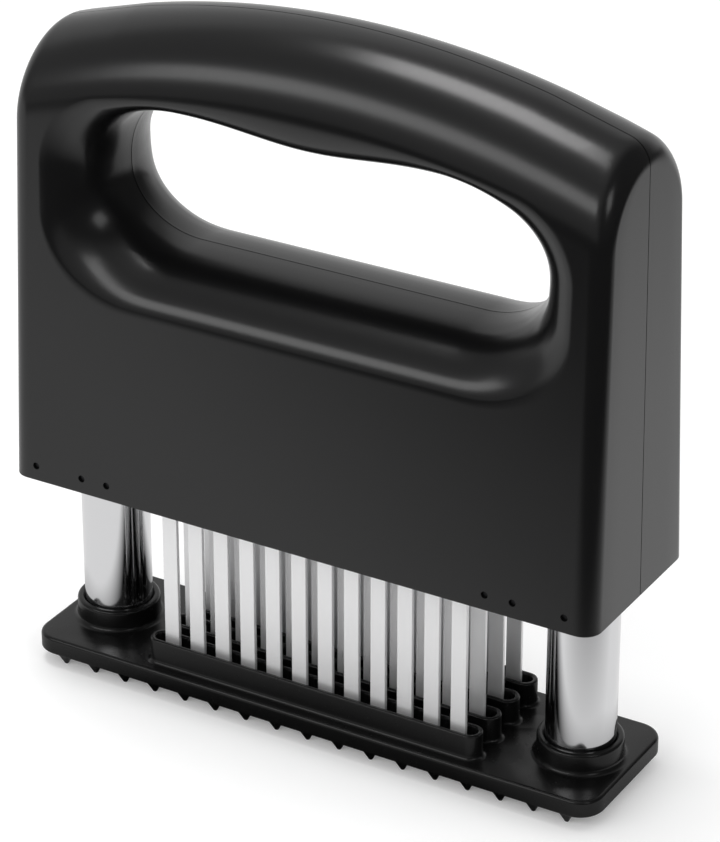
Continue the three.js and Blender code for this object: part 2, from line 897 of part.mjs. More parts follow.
place(guard, 'guard_plate', guardPlate(), guardPlastic, 0);
for (const [name, side] of [['left', -1], ['right', 1]]) {
  place(guard, `column_${name}`, tube, polishedSteel, side * columnX);
  place(guard, `foot_plug_${name}`, plug, springSteel, side * columnX);
  place(guard, `column_screw_${name}`, screw, darkSteel, side * columnX);
  place(guard, `stop_ring_${name}`, ring, springSteel, side * columnX);
  place(guard, `return_spring_${name}`, spring, springSteel, side * columnX);
  place(handle, `spring_cap_${name}`, cap, innerPlastic, side * columnX);
}

place(handle, 'housing_front', frontShell, blackPlastic, 0);
place(handle, 'housing_rear', frontShell.mirror([0, 1, 0]), blackPlastic, 0);
place(handle, 'guide_block_left', rightBlock.mirror([1, 0, 0]), innerPlastic, 0);
place(handle, 'guide_block_right', rightBlock, innerPlastic, 0);
place(handle, 'blade_carrier', bladeCarrier(), innerPlastic, 0);
for (let row = 0; row < bladeRows; row += 1) {
  place(handle, `blade_strip_${row + 1}`, bladeStrip(row), bladeSteel, 0);
}
for (const [sideName, side] of [['left', -1], ['right', 1]]) {
  place(handle, `blade_pin_${sideName}`, bladePin(side), darkSteel, 0);
  for (const [faceName, face] of [['front', -1], ['rear', 1]]) {
    for (const [spot, offset] of [['inner', -guidePinOffset], ['outer', guidePinOffset]]) {
      const x = side * (columnX + offset);
      place(handle, `guide_pin_${faceName}_${sideName}_${spot}`, guidePin(x, face), darkSteel, 0);
    }
  }
}

export default tenderizer;
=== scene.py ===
"""
Looks of a blade meat tenderizer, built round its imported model. Metres, +Z up, front at -Y.

The half shells, columns, springs, blade strips and guard plate get finer meshes, and the other
pieces keep their CAD shape. The camera stands where the photograph was taken from.
"""

import json
import math

import bmesh
import bpy
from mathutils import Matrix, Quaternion, Vector

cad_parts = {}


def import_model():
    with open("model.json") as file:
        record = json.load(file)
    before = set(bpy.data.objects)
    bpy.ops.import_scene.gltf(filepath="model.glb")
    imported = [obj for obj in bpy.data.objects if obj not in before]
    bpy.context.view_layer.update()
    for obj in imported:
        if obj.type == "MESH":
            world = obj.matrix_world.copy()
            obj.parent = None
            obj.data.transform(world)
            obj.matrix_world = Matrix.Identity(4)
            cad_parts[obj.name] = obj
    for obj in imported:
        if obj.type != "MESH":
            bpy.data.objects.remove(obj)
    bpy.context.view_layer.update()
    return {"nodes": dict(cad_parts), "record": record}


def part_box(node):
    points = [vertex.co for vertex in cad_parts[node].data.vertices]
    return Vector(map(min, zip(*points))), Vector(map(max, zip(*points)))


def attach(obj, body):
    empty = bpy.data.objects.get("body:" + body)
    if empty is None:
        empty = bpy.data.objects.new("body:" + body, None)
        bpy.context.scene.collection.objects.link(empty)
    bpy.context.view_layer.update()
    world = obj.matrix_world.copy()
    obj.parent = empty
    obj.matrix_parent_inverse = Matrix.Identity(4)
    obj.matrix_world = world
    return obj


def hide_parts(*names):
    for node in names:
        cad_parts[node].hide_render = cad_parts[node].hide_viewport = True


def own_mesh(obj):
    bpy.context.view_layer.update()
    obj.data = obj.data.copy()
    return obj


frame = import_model()

MM = 0.001
QUARTER = math.pi / 2
SIDES = ((-1, "left"), (1, "right"))

# Camera, fitted to the photograph
CAMERA_PLACE = Vector((0.364878, -0.613634, 0.441698))
CAMERA_AZIMUTH = math.radians(30.41)
CAMERA_PITCH = math.radians(27.22)
CAMERA_FOCUS_PIXELS = 3623.9
CAMERA_NEAR = 0.05
CAMERA_FAR = 20
PHOTO_HEIGHT_PIXELS = 842
SENSOR = 36.0

# Sizes read from the frame
plate_low, plate_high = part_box("guard_plate")
column_low, column_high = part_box("column_right")
shell_low, shell_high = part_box("housing_front")
ring_low, ring_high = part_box("stop_ring_right")
spring_low, spring_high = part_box("return_spring_right")
screw_low, screw_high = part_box("column_screw_right")
pin_low, pin_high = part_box("blade_pin_right")
strip_low, strip_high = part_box("blade_strip_1")
outer_pin_low, outer_pin_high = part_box("guide_pin_front_right_outer")
inner_pin_low, inner_pin_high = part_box("guide_pin_front_right_inner")
column_x = (column_low.x + column_high.x) / 2
column_radius = (column_high.x - column_low.x) / 2

# Cleaning of meshes: points closer than a merge are joined, and edges below an angle, in degrees,
# are shaded smooth
FINE_MERGE = 0.001 * MM
MERGE = 0.002 * MM
ROUND_SMOOTH = 30
SHELL_SMOOTH = 32
PLATE_SMOOTH = 35
SPRING_SMOOTH = 50
BLADE_SMOOTH = 20

# Housing. Its faces lie a little inside the solids'.
SLIMMER = 0.4 * MM
half_length = shell_high.x - SLIMMER
half_depth = -shell_low.y - SLIMMER
housing_bottom = shell_low.z
housing_top = shell_high.z
LENGTH_DRAFT_SHARE = 0.016
DEPTH_DRAFT_SHARE = 0.046
ARCH_RADIUS = 224 * MM
END_EDGE = 4.3 * MM
CROWN_RISE = 18.3 * MM
CROWN_FLAT = 0.3 * MM
SHELL_WALL = 2.5 * MM
PARTING_GAP = 0.26 * MM
end_start = half_length - END_EDGE

# Finger hole at the parting plane, measured from the housing's ends and top
HOLE_END = 20.6 * MM
HOLE_BOTTOM = 58.1 * MM
HOLE_CORNER_REACH = 18.4 * MM
HOLE_CORNER_RISE = 15 * MM
HOLE_SIDE = 0.8 * MM
HOLE_HEIGHT = 35.5 * MM
HOLE_CROWN_REACH = 22 * MM
HOLE_DIP = 2.4 * MM
HOLE_TOP_ROUND = 0.94
hole_bottom = housing_top - HOLE_BOTTOM

# Outer edge of the dish round the hole
DISH_END = 9 * MM
DISH_DROP = 10.7 * MM
DISH_CORNER_REACH = 24 * MM
DISH_CORNER_RISE = 19.1 * MM
DISH_TOP_CORNER = 14 * MM
DISH_TOP_CORNER_ABOVE = 0.6
DISH_SEARCH = 40 * MM
DISH_SEARCH_STEPS = 40
DISH_LEAST_REACH = 0.3 * MM
GRIP_LIP_RISE = 3 * MM
dish_bottom = hole_bottom - DISH_DROP
dish_half_width = half_length - DISH_END

# Cross-sections from the hole's edge over its lip and the dish out to the face. Each point is how
# far it lies from the hole's outline to the dish's, and how deep, as a share of the half depth.
# Low on the sides the sill's section turns gradually into the side's.
SILL_SECTION = ((0, 0), (0.011, 0.149), (0.044, 0.297), (0.108, 0.445), (0.155, 0.519),
                (0.201, 0.578), (0.256, 0.636), (0.309, 0.685), (0.363, 0.728), (0.416, 0.766),
                (0.475, 0.805), (0.54, 0.842), (0.604, 0.875), (0.665, 0.903), (0.733, 0.931),
                (0.83, 0.963), (0.92, 0.986), (1, 1))
SIDE_SECTION = ((0, 0), (0.015, 0.149), (0.055, 0.29), (0.12, 0.43), (0.2, 0.56), (0.3, 0.68),
                (0.41, 0.77), (0.53, 0.845), (0.66, 0.91), (0.79, 0.955), (0.9, 0.985), (1, 1))
GRIP_SECTION = ((0, 0), (0, 0.35), (0.005, 0.6), (0.035, 0.72), (0.14, 0.83), (0.32, 0.91),
                (0.54, 0.962), (0.78, 0.992), (1, 1))
SECTION_FADE_START = 6 * MM
SECTION_FADE = 12 * MM
SPLINE_STEPS = 24
LEAST_LENGTH = 1e-9

# Lines of points from the hole outwards, counted along the right half of its outline, and rows of
# points across them
BOTTOM_STEPS = 18
LOWER_CORNER_STEPS = 40
UPRIGHT_STEPS = 6
UPPER_CORNER_STEPS = 64
CROWN_STEPS = 30
LOWER_LINES = BOTTOM_STEPS + LOWER_CORNER_STEPS // 2
UPPER_ROUND_SHARE = 0.75
DISH_ROWS = 48
FACE_ROWS = 30
SIDE_ROWS = 3
INNER_DISH_ROWS = DISH_ROWS // 4
INNER_FACE_ROWS = FACE_ROWS // 3
FULL_WALL_DEPTH = 0.25


def fill_inputs(tree, node, inputs):
    """Gives a shader node's inputs values, or links from other nodes' outputs."""
    for socket, value in inputs.items():
        if isinstance(value, bpy.types.NodeSocket):
            tree.links.new(value, node.inputs[socket])
        else:
            node.inputs[socket].default_value = value


def add_node(tree, kind, inputs, operation=None):
    """A new shader node with its inputs filled."""
    made = tree.nodes.new("ShaderNode" + kind)
    if operation:
        made.operation = operation
    fill_inputs(tree, made, inputs)
    return made


def object_place(tree):
    return add_node(tree, "TexCoord", {}).outputs["Object"]


GRAIN_DETAIL = 4
TONE_DETAIL = 3


def material(name, colour, roughness, metallic=0, specular=0.5):
    """A principled material, ready for grain and tone."""
    made = bpy.data.materials.new(name)
    made.use_nodes = True
    fill_inputs(made.node_tree, made.node_tree.nodes["Principled BSDF"], {
        "Base Color": (*colour, 1), "Roughness": roughness, "Metallic": metallic,
        "Specular IOR Level": specular})
    return made


def add_grain(made, scale, rough, bump, depth, stretch=(1, 1, 1)):
    """Fine grain: noise in object space drives the roughness between two values, and a bump."""
    tree = made.node_tree
    mapping = add_node(tree, "Mapping", {"Vector": object_place(tree), "Scale": stretch})
    noise = add_node(tree, "TexNoise", {
        "Vector": mapping.outputs["Vector"], "Scale": scale, "Detail": GRAIN_DETAIL})
    spread = add_node(tree, "MapRange", {
        "Value": noise.outputs["Fac"], "To Min": rough[0], "To Max": rough[1]})
    relief = add_node(tree, "Bump", {
        "Height": noise.outputs["Fac"], "Strength": bump, "Distance": depth})
    fill_inputs(tree, tree.nodes["Principled BSDF"], {
        "Roughness": spread.outputs["Result"], "Normal": relief.outputs["Normal"]})


def add_tone(made, scale, dark, light):
    """Slow variation of the base colour between two tones."""
    tree = made.node_tree
    noise = add_node(tree, "TexNoise", {
        "Vector": object_place(tree), "Scale": scale, "Detail": TONE_DETAIL})
    ramp = add_node(tree, "ValToRGB", {"Fac": noise.outputs["Fac"]})
    ramp.color_ramp.elements[0].color = (*dark, 1)
    ramp.color_ramp.elements[1].color = (*light, 1)
    fill_inputs(tree, tree.nodes["Principled BSDF"], {"Base Color": ramp.outputs["Color"]})


def housing_plastic():
    made = material("housing_plastic", (0.004, 0.004, 0.0042), 0.22)
    add_grain(made, scale=900, rough=(0.2, 0.24), bump=0.05, depth=0.05 * MM)
    add_tone(made, scale=40, dark=(0.0035, 0.0035, 0.0036), light=(0.005, 0.005, 0.0052))
    return made


def guard_plastic():
    made = material("guard_plastic", (0.004, 0.004, 0.0042), 0.26, specular=0.35)
    add_grain(made, scale=700, rough=(0.22, 0.3), bump=0.05, depth=0.05 * MM)
    add_tone(made, scale=60, dark=(0.003, 0.003, 0.003), light=(0.005, 0.005, 0.005))
    return made


def inner_plastic():
    made = material("inner_plastic", (0.02, 0.02, 0.021), 0.5)
    add_grain(made, scale=500, rough=(0.45, 0.6), bump=0.1, depth=0.08 * MM)
    add_tone(made, scale=50, dark=(0.016, 0.016, 0.017), light=(0.024, 0.024, 0.025))
    return made


def column_steel():
    made = material("column_steel", (0.74, 0.74, 0.75), 0.1, metallic=1)
    add_grain(made, scale=60, rough=(0.07, 0.12), bump=0.02, depth=0.02 * MM, stretch=(1, 1, 14))
    add_tone(made, scale=30, dark=(0.72, 0.72, 0.73), light=(0.76, 0.76, 0.77))
    return made


def blade_steel():
    made = material("blade_steel", (0.92, 0.92, 0.925), 0.38, metallic=0.6)
    add_grain(made, scale=300, rough=(0.34, 0.42), bump=0.06, depth=0.03 * MM,
              stretch=(12, 12, 0.6))
    add_tone(made, scale=90, dark=(0.9, 0.9, 0.905), light=(0.94, 0.94, 0.945))
    return made


def spring_steel():
    made = material("spring_steel", (0.5, 0.5, 0.52), 0.3, metallic=1)
    add_grain(made, scale=400, rough=(0.22, 0.36), bump=0.08, depth=0.03 * MM, stretch=(1, 1, 6))
    add_tone(made, scale=120, dark=(0.45, 0.45, 0.46), light=(0.55, 0.55, 0.56))
    return made


def dark_steel():
    made = material("dark_steel", (0.03, 0.03, 0.032), 0.4, metallic=1)
    add_grain(made, scale=400, rough=(0.34, 0.46), bump=0.08, depth=0.03 * MM)
    add_tone(made, scale=150, dark=(0.02, 0.02, 0.021), light=(0.04, 0.04, 0.042))
    return made


MATERIALS = {
    "housing_plastic": housing_plastic(),
    "guard_plastic": guard_plastic(),
    "inner_plastic": inner_plastic(),
    "column_steel": column_steel(),
    "blade_steel": blade_steel(),
    "spring_steel": spring_steel(),
    "dark_steel": dark_steel(),
}


def add_object(name, data):
    made = bpy.data.objects.new(name, data)
    bpy.context.scene.collection.objects.link(made)
    return made


def mesh_object(name, verts, faces):
    mesh = bpy.data.meshes.new(name)
    mesh.from_pydata([tuple(v) for v in verts], [], faces)
    return add_object(name, mesh)


def shade(piece, smooth_degrees):
    """Shades smooth up to an angle."""
    piece.data.shade_smooth()
    piece.data.set_sharp_from_angle(angle=math.radians(smooth_degrees))


def clean_mesh(piece, smooth_degrees, merge=FINE_MERGE):
    """Joins doubled points, turns the faces outwards and shades smooth up to an angle."""
    work = bmesh.new()
    work.from_mesh(piece.data)
    bmesh.ops.remove_doubles(work, verts=work.verts, dist=merge)
    bmesh.ops.dissolve_degenerate(work, dist=merge, edges=work.edges)
    bmesh.ops.recalc_face_normals(work, faces=work.faces)
    work.to_mesh(piece.data)
    work.free()
    shade(piece, smooth_degrees)


def apply_modifier(piece, modifier):
    """Bakes one modifier into the piece's mesh."""
    graph = bpy.context.evaluated_depsgraph_get()
    mesh = bpy.data.meshes.new_from_object(piece.evaluated_get(graph))
    piece.modifiers.remove(modifier)
    piece.data = mesh


def combine(piece, other, operation):
    """Adds another solid to a piece or cuts it away, and deletes the other."""
    modifier = piece.modifiers.new("combine", "BOOLEAN")
    modifier.operation = operation
    modifier.solver = "EXACT"
    modifier.object = other
    bpy.context.view_layer.update()
    apply_modifier(piece, modifier)
    bpy.data.objects.remove(other, do_unlink=True)


def finish_piece(piece, body, slot, node):
    """Gives a piece its material, the body that it rides on and the CAD node that it replaces."""
    piece.data.materials.clear()
    piece.data.materials.append(MATERIALS[slot])
    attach(piece, body)
    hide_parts(node)


def loft_faces(rings, count, base=0):
    """Faces of a body through rings of points, capped at both ends."""
    end = base + (rings - 1) * count
    faces = [tuple(range(base, base + count))[::-1], tuple(range(end, end + count))]
    for low in range(base, end, count):
        for i in range(count):
            j = (i + 1) % count
            faces.append((low + i, low + j, low + count + j, low + count + i))
    return faces


def ring_loft(name, rings):
    """Closed body through rings of points."""
    verts = [point for ring in rings for point in ring]
    return mesh_object(name, verts, loft_faces(len(rings), len(rings[0])))


def lathe(name, profile, x):
    """A closed profile of (radius, z) turned about an upright axis at a place along the length."""
    verts, faces = [], []
    count = len(profile)
    for i in range(ROUND_SIDES):
        turn = 2 * math.pi * i / ROUND_SIDES
        verts += [(x + radius * math.cos(turn), radius * math.sin(turn), z)
                  for radius, z in profile]
        here, there = i * count, (i + 1) % ROUND_SIDES * count
        for k in range(count):
            n = (k + 1) % count
            faces.append((here + k, there + k, there + n, here + n))
    piece = mesh_object(name, verts, faces)
    clean_mesh(piece, ROUND_SMOOTH)
    return piece


def arc(centre, radius, start_degrees, end_degrees, steps):
    """Points on an arc in a profile's plane."""
    points = []
    for i in range(steps + 1):
        turn = math.radians(start_degrees + (end_degrees - start_degrees) * i / steps)
        points.append((centre[0] + radius * math.cos(turn), centre[1] + radius * math.sin(turn)))
    return points


def rounded_rectangle(half_x, half_y, radius, middle, z, steps):
    """A level ring of points round a middle (x, y)."""
    points = []
    for k, (side_x, side_y) in enumerate(((1, 1), (-1, 1), (-1, -1), (1, -1))):
        for i in range(steps + 1):
            turn = QUARTER * (k + i / steps)
            points.append((middle[0] + (half_x - radius) * side_x + radius * math.cos(turn),
                           middle[1] + (half_y - radius) * side_y + radius * math.sin(turn), z))
    return points


def smooth(share):
    """A share from 0 to 1, eased at both ends."""
    held = min(max(share, 0), 1)
    return held * held * (3 - 2 * held)


def blend(one, two, share):
    return one + (two - one) * share


def draft_x(level):
    """Share of the length that is left at a level, as the housing narrows upwards."""
    return 1 - LENGTH_DRAFT_SHARE * (level - housing_bottom) / half_length


def draft_y(level):
    """Share of the depth that is left at a level."""
    return 1 - DEPTH_DRAFT_SHARE * (level - housing_bottom) / half_depth


def round_start(x):
    """Level at which the grip's full round begins, at an undrafted place along the length."""
    arch_drop = ARCH_RADIUS - math.sqrt(ARCH_RADIUS**2 - x * x)
    return housing_top - CROWN_RISE - arch_drop


def outer_point(across, up, shrink):
    """
    A point of the housing's outside. Across is the way along the surface past the start of the
    end's rounded edge, and up the way past the start of the grip's round.
    """
    edge = END_EDGE - shrink
    if across > 0:
        x = end_start + edge * math.sin(across / edge)
        inset = edge * (1 - math.cos(across / edge))
    else:
        x, inset = end_start + across, 0
    deep = half_depth - shrink - inset
    level = round_start(x) + up
    if up > 0:
        turn = up / (CROWN_RISE - shrink)
        level = round_start(x) + (CROWN_RISE - shrink - inset) * math.sin(turn)
        deep = CROWN_FLAT + (deep - CROWN_FLAT) * math.cos(turn)
    return Vector((x * draft_x(level), -deep * draft_y(level), level))


def outer_depth(x, level, shrink):
    """Half depth of the housing's outside at a place seen from the front."""
    full_x = abs(x) / draft_x(level)
    edge = END_EDGE - shrink
    past = min(max(full_x - end_start, 0), edge)
    inset = edge - math.sqrt(edge * edge - past * past)
    deep = half_depth - shrink - inset
    rise = CROWN_RISE - shrink - inset
    share = min((level - round_start(full_x)) / rise, 1)
    if share > 0:
        deep = CROWN_FLAT + (deep - CROWN_FLAT) * math.sqrt(1 - share * share)
    return deep * draft_y(level)


def outer_place(x, level):
    """Across and up, as outer_point takes them, of a place seen from the front."""
    full_x = x / draft_x(level)
    up = level - round_start(full_x)
    if up > 0:
        up = CROWN_RISE * math.asin(up / CROWN_RISE)
    return full_x - end_start, up


def hole_outline():
    """Right half of the finger hole at the parting plane, from the bottom's middle to the top's."""
    half_width = half_length - HOLE_END
    corner_x = half_width - HOLE_CORNER_REACH
    crown_x = half_width - HOLE_CROWN_REACH
    side_low = hole_bottom + HOLE_CORNER_RISE
    side_high = side_low + HOLE_SIDE
    lobe = hole_bottom + HOLE_HEIGHT
    points = [(corner_x * i / BOTTOM_STEPS, hole_bottom) for i in range(BOTTOM_STEPS)]
    for i in range(LOWER_CORNER_STEPS):
        turn = QUARTER * i / LOWER_CORNER_STEPS
        points.append((corner_x + HOLE_CORNER_REACH * math.sin(turn),
                       side_low - HOLE_CORNER_RISE * math.cos(turn)))
    for i in range(UPRIGHT_STEPS):
        points.append((half_width, side_low + HOLE_SIDE * i / UPRIGHT_STEPS))
    for i in range(UPPER_CORNER_STEPS):
        turn = QUARTER * i / UPPER_CORNER_STEPS
        points.append((crown_x + HOLE_CROWN_REACH * math.cos(turn) ** HOLE_TOP_ROUND,
                       side_high + (lobe - side_high) * math.sin(turn) ** HOLE_TOP_ROUND))
    for i in range(CROWN_STEPS + 1):
        x = crown_x * (1 - i / CROWN_STEPS)
        points.append((x, lobe - HOLE_DIP * (1 + math.cos(math.pi * x / crown_x)) / 2))
    return points


def outward(points, i):
    """Direction out of the hole, square to its outline."""
    before = points[i - 1] if i > 0 else (-points[1][0], points[1][1])
    after = points[i + 1] if i < len(points) - 1 else (-points[-2][0], points[-2][1])
    along = Vector((after[0] - before[0], after[1] - before[1])).normalized()
    return Vector((along.y, -along.x))


def dish_gaps(x, level):
    """How far a place lies inside the dish's side edge, and how far below its top edge."""
    return dish_half_width - x, round_start(x / draft_x(level)) + GRIP_LIP_RISE - level


def within_dish(x, level):
    """Whether a place seen from the front lies inside the dish's outer edge."""
    below = dish_bottom + DISH_CORNER_RISE - level
    if below > 0:
        across = max((x - dish_half_width + DISH_CORNER_REACH) / DISH_CORNER_REACH, 0)
        return across**2 + (below / DISH_CORNER_RISE) ** 2 < 1
    side_gap, top_gap = dish_gaps(x, level)
    if side_gap < 0 or top_gap < 0:
        return False
    if max(side_gap, top_gap) < DISH_TOP_CORNER:
        return math.hypot(DISH_TOP_CORNER - side_gap, DISH_TOP_CORNER - top_gap) < DISH_TOP_CORNER
    return True


def in_upper_corner(x, level):
    """Whether a place on the dish's edge belongs to its rounded upper corner."""
    return (max(dish_gaps(x, level)) < DISH_TOP_CORNER
            and level > housing_top * DISH_TOP_CORNER_ABOVE)


def dish_outline(hole, ways):
    """The dish's outer edge, found from each point of the hole straight out."""
    points = []
    for place, way in zip(hole, ways):
        near, far = 0, DISH_SEARCH
        for _ in range(DISH_SEARCH_STEPS):
            middle = (near + far) / 2
            if within_dish(place[0] + way.x * middle, place[1] + way.y * middle):
                near = middle
            else:
                far = middle
        reach = max(near, DISH_LEAST_REACH)
        points.append((place[0] + way.x * reach, place[1] + way.y * reach))
    return points


def rim_places(dish):
    """
    Where each line ends on the housing's outside: how far across, and either at which level or
    how far up past the start of the grip's round. The first ones end on the lower edge.
    """
    full_across = END_EDGE * QUARTER
    full_up = CROWN_RISE * QUARTER
    side_low = dish_bottom + DISH_CORNER_RISE
    side_line = BOTTOM_STEPS + LOWER_CORNER_STEPS
    upper = [i for i, place in enumerate(dish) if in_upper_corner(*place)]
    places = []
    for i, (x, level) in enumerate(dish):
        if i < BOTTOM_STEPS:
            places.append((x - end_start, housing_bottom, None))
        elif i <= LOWER_LINES:
            share = (i - BOTTOM_STEPS) / (LOWER_LINES - BOTTOM_STEPS) * 2
            if share < 1:
                across = blend(dish[BOTTOM_STEPS][0] - end_start, 0, share)
            else:
                across = full_across * (share - 1)
            places.append((across, housing_bottom, None))
        elif i < upper[0]:
            share = min((i - LOWER_LINES) / (side_line - LOWER_LINES), 1)
            held = level if level > side_low else blend(housing_bottom, side_low, share)
            places.append((full_across, held, None))
        elif i <= upper[-1]:
            share = (i - upper[0]) / (upper[-1] - upper[0])
            if share < UPPER_ROUND_SHARE:
                places.append((full_across, None, full_up * share / UPPER_ROUND_SHARE))
            else:
                left = (1 - share) / (1 - UPPER_ROUND_SHARE)
                places.append((full_across * left, None, full_up))
        else:
            places.append((x / draft_x(level) - end_start, None, full_up))
    return places


def shell_lines():
    """
    The lines of points that a half shell is built on, as four lists: where they start at the
    hole, the way they run from there, where they leave the dish, and where they end.
    """
    hole = hole_outline()
    ways = [outward(hole, i) for i in range(len(hole))]
    dish = dish_outline(hole, ways)
    return hole, ways, dish, rim_places(dish)


def spline(points, count):
    """Points spread evenly along a smooth curve through the given ones."""
    fine = []
    for i in range(len(points) - 1):
        nearby = (points[max(i - 1, 0)], points[i], points[i + 1],
                  points[min(i + 2, len(points) - 1)])
        for k in range(SPLINE_STEPS):
            t = k / SPLINE_STEPS
            fine.append(tuple(
                0.5 * (2 * b + (c - a) * t + (2 * a - 5 * b + 4 * c - d) * t * t
                       + (3 * b - a - 3 * c + d) * t**3)
                for a, b, c, d in zip(*nearby)))
    fine.append(points[-1])
    lengths = [0]
    for a, b in zip(fine, fine[1:]):
        lengths.append(lengths[-1] + math.dist(a, b))
    spread = []
    k = 0
    for i in range(count + 1):
        target = lengths[-1] * i / count
        while k < len(lengths) - 2 and lengths[k + 1] < target:
            k += 1
        part = (target - lengths[k]) / max(lengths[k + 1] - lengths[k], LEAST_LENGTH)
        spread.append(tuple(blend(a, b, part) for a, b in zip(fine[k], fine[k + 1])))
    return spread


def rows_over_dish(lines, shrink, count):
    """Rows of points from the hole's edge over its lip and the dish to the face."""
    hole, ways, dish, _ = lines
    sections = [spline(section, count) for section in (SILL_SECTION, SIDE_SECTION, GRIP_SECTION)]
    fades = [smooth((level - dish_bottom - SECTION_FADE_START) / SECTION_FADE)
             for _, level in dish]
    rows = []
    for row in range(count + 1):
        points = []
        for start, way, end, fade in zip(hole, ways, dish, fades):
            down, up = max(-way.y, 0) ** 2, max(way.y, 0) ** 2
            side = 1 - down - up
            weights = (down + side * (1 - fade), side * fade, up)
            along = sum(w * s[row][0] for w, s in zip(weights, sections))
            deep = sum(w * s[row][1] for w, s in zip(weights, sections))
            x = blend(start[0], end[0], along) + way.x * shrink
            z = blend(start[1], end[1], along) + way.y * shrink
            y = outer_depth(x, z, 0) * deep - shrink * min(deep / FULL_WALL_DEPTH, 1)
            y = min(y, outer_depth(x, z, shrink))
            points.append(Vector((x, -max(y, PARTING_GAP / 2), z)))
        rows.append(points)
    return rows


def rim_up(across, level, up, shrink):
    """The up of a line's end for outer_point, from its level or its way up the round."""
    if level is None:
        return up * ((CROWN_RISE - shrink) / CROWN_RISE)
    edge = END_EDGE - shrink
    x = end_start + (edge * math.sin(across / edge) if across > 0 else across)
    return level - round_start(x)


def rows_over_face(lines, dish_row, shrink, count):
    """Rows of points from the dish's edge over the face and the rounds to the rim."""
    narrow = (END_EDGE - shrink) / END_EDGE
    starts = [outer_place(p.x, p.z) for p in dish_row]
    rows = []
    for row in range(1, count + 1):
        share = row / count
        points = []
        for (across, up), (end_across, level, end_up) in zip(starts, lines[-1]):
            end = end_across * narrow if end_across > 0 else end_across
            at = blend(across, end, share)
            risen = blend(up, rim_up(at, level, end_up, shrink), share)
            points.append(outer_point(at, risen, shrink))
        rows.append(points)
    return rows


def half_shell_rows(lines, shrink, dish_rows, face_rows):
    """
    Rows of points from the hole over the dish and the face to the parting plane, each the whole
    way round. Shrink moves them into the wall.
    """
    rows = rows_over_dish(lines, shrink, dish_rows)
    rows += rows_over_face(lines, rows[-1], shrink, face_rows)
    last = rows[-1]
    for row in range(1, SIDE_ROWS + 1):
        rows.append([Vector((p.x, blend(p.y, -PARTING_GAP / 2, row / SIDE_ROWS), p.z))
                     for p in last])
    return [row + [Vector((-p.x, p.y, p.z)) for p in reversed(row[1:-1])] for row in rows]


def shell_sheet(rows, base, inside):
    """
    The faces between rows whose first point has the number base, and the numbers of the points
    round the sheet's hole and round its outer edge. The last rows leave out the lower side.
    """
    count = len(rows[0])
    last = count - LOWER_LINES
    rim = len(rows) - 1 - SIDE_ROWS
    faces = []
    for row in range(len(rows) - 1):
        low, high = base + row * count, base + (row + 1) * count
        for i in range(count) if row < rim else range(LOWER_LINES, last):
            j = (i + 1) % count
            quad = (low + i, low + j, high + j, high + i)
            faces.append(quad if inside else quad[::-1])
    bottom = [base + rim * count + i % count for i in range(last + 1, count + LOWER_LINES)]
    right = [base + row * count + LOWER_LINES for row in range(rim, len(rows))]
    top = [base + (len(rows) - 1) * count + i for i in range(LOWER_LINES + 1, last)]
    left = [base + row * count + last for row in range(len(rows) - 1, rim - 1, -1)]
    return faces, [base + i for i in range(count)], bottom + right + top + left


def half_shell(name, lines):
    """A closed half shell: its outer sheet, its inner sheet, and the edges that join them."""
    outer = half_shell_rows(lines, 0, DISH_ROWS, FACE_ROWS)
    inner = half_shell_rows(lines, SHELL_WALL, INNER_DISH_ROWS, INNER_FACE_ROWS)
    verts = [point for row in outer + inner for point in row]
    faces, outer_hole, outer_edge = shell_sheet(outer, 0, False)
    inner_faces, inner_hole, inner_edge = shell_sheet(inner, len(outer) * len(outer[0]), True)
    faces += inner_faces
    for one, two in ((outer_hole, inner_hole), (inner_edge, outer_edge)):
        for i in range(len(one)):
            j = (i + 1) % len(one)
            faces.append((one[i], one[j], two[j], two[i]))
    return mesh_object(name, verts, faces)


PARTING_GROOVE = 0.5 * MM
LIP_GAP = 0.03 * MM
LIP_WALL = 0.8 * MM
LIP_REACH = 0.8 * MM


def parting_lip(lines):
    """The rear shell's lip, which fills the parting line below a groove and keeps light out."""
    rings = [half_shell_rows(lines, shrink, 1, INNER_FACE_ROWS)[-1]
             for shrink in (PARTING_GROOVE, SHELL_WALL + LIP_GAP, SHELL_WALL + LIP_WALL)]
    edge = LIP_GAP - PARTING_GAP / 2
    section = ((0, LIP_REACH), (0, edge), (1, edge), (1, -LIP_REACH), (2, -LIP_REACH),
               (2, LIP_REACH))
    span = range(LOWER_LINES, len(rings[0]) - LOWER_LINES + 1)
    count = len(span)
    verts = [Vector((rings[ring][i].x, y, rings[ring][i].z)) for ring, y in section for i in span]
    faces = []
    for side in range(len(section)):
        one, two = side * count, (side + 1) % len(section) * count
        for i in range(count - 1):
            faces.append((one + i, one + i + 1, two + i + 1, two + i))
    for end in (0, count - 1):
        corners = [side * count + end for side in range(len(section))]
        faces.append((corners[0], corners[1], corners[2], corners[5]))
        faces.append((corners[2], corners[3], corners[4], corners[5]))
    lip = mesh_object("lip", verts, faces)
    clean_mesh(lip, SHELL_SMOOTH)
    return lip


PIN_HOLE_RADIUS = 0.85 * MM
PIN_SIDES = 24
PIN_HOLE_START = 1.2
PIN_HOLE_END = 0.7


def drill(piece, x, near, far):
    """Cuts a pin's hole into a piece between two places along the depth."""
    level = (pin_low.z + pin_high.z) / 2
    turns = [2 * math.pi * i / PIN_SIDES for i in range(PIN_SIDES)]
    rings = [[(x + PIN_HOLE_RADIUS * math.sin(turn), y, level + PIN_HOLE_RADIUS * math.cos(turn))
              for turn in turns] for y in (near, far)]
    combine(piece, ring_loft("cutter", rings), "DIFFERENCE")


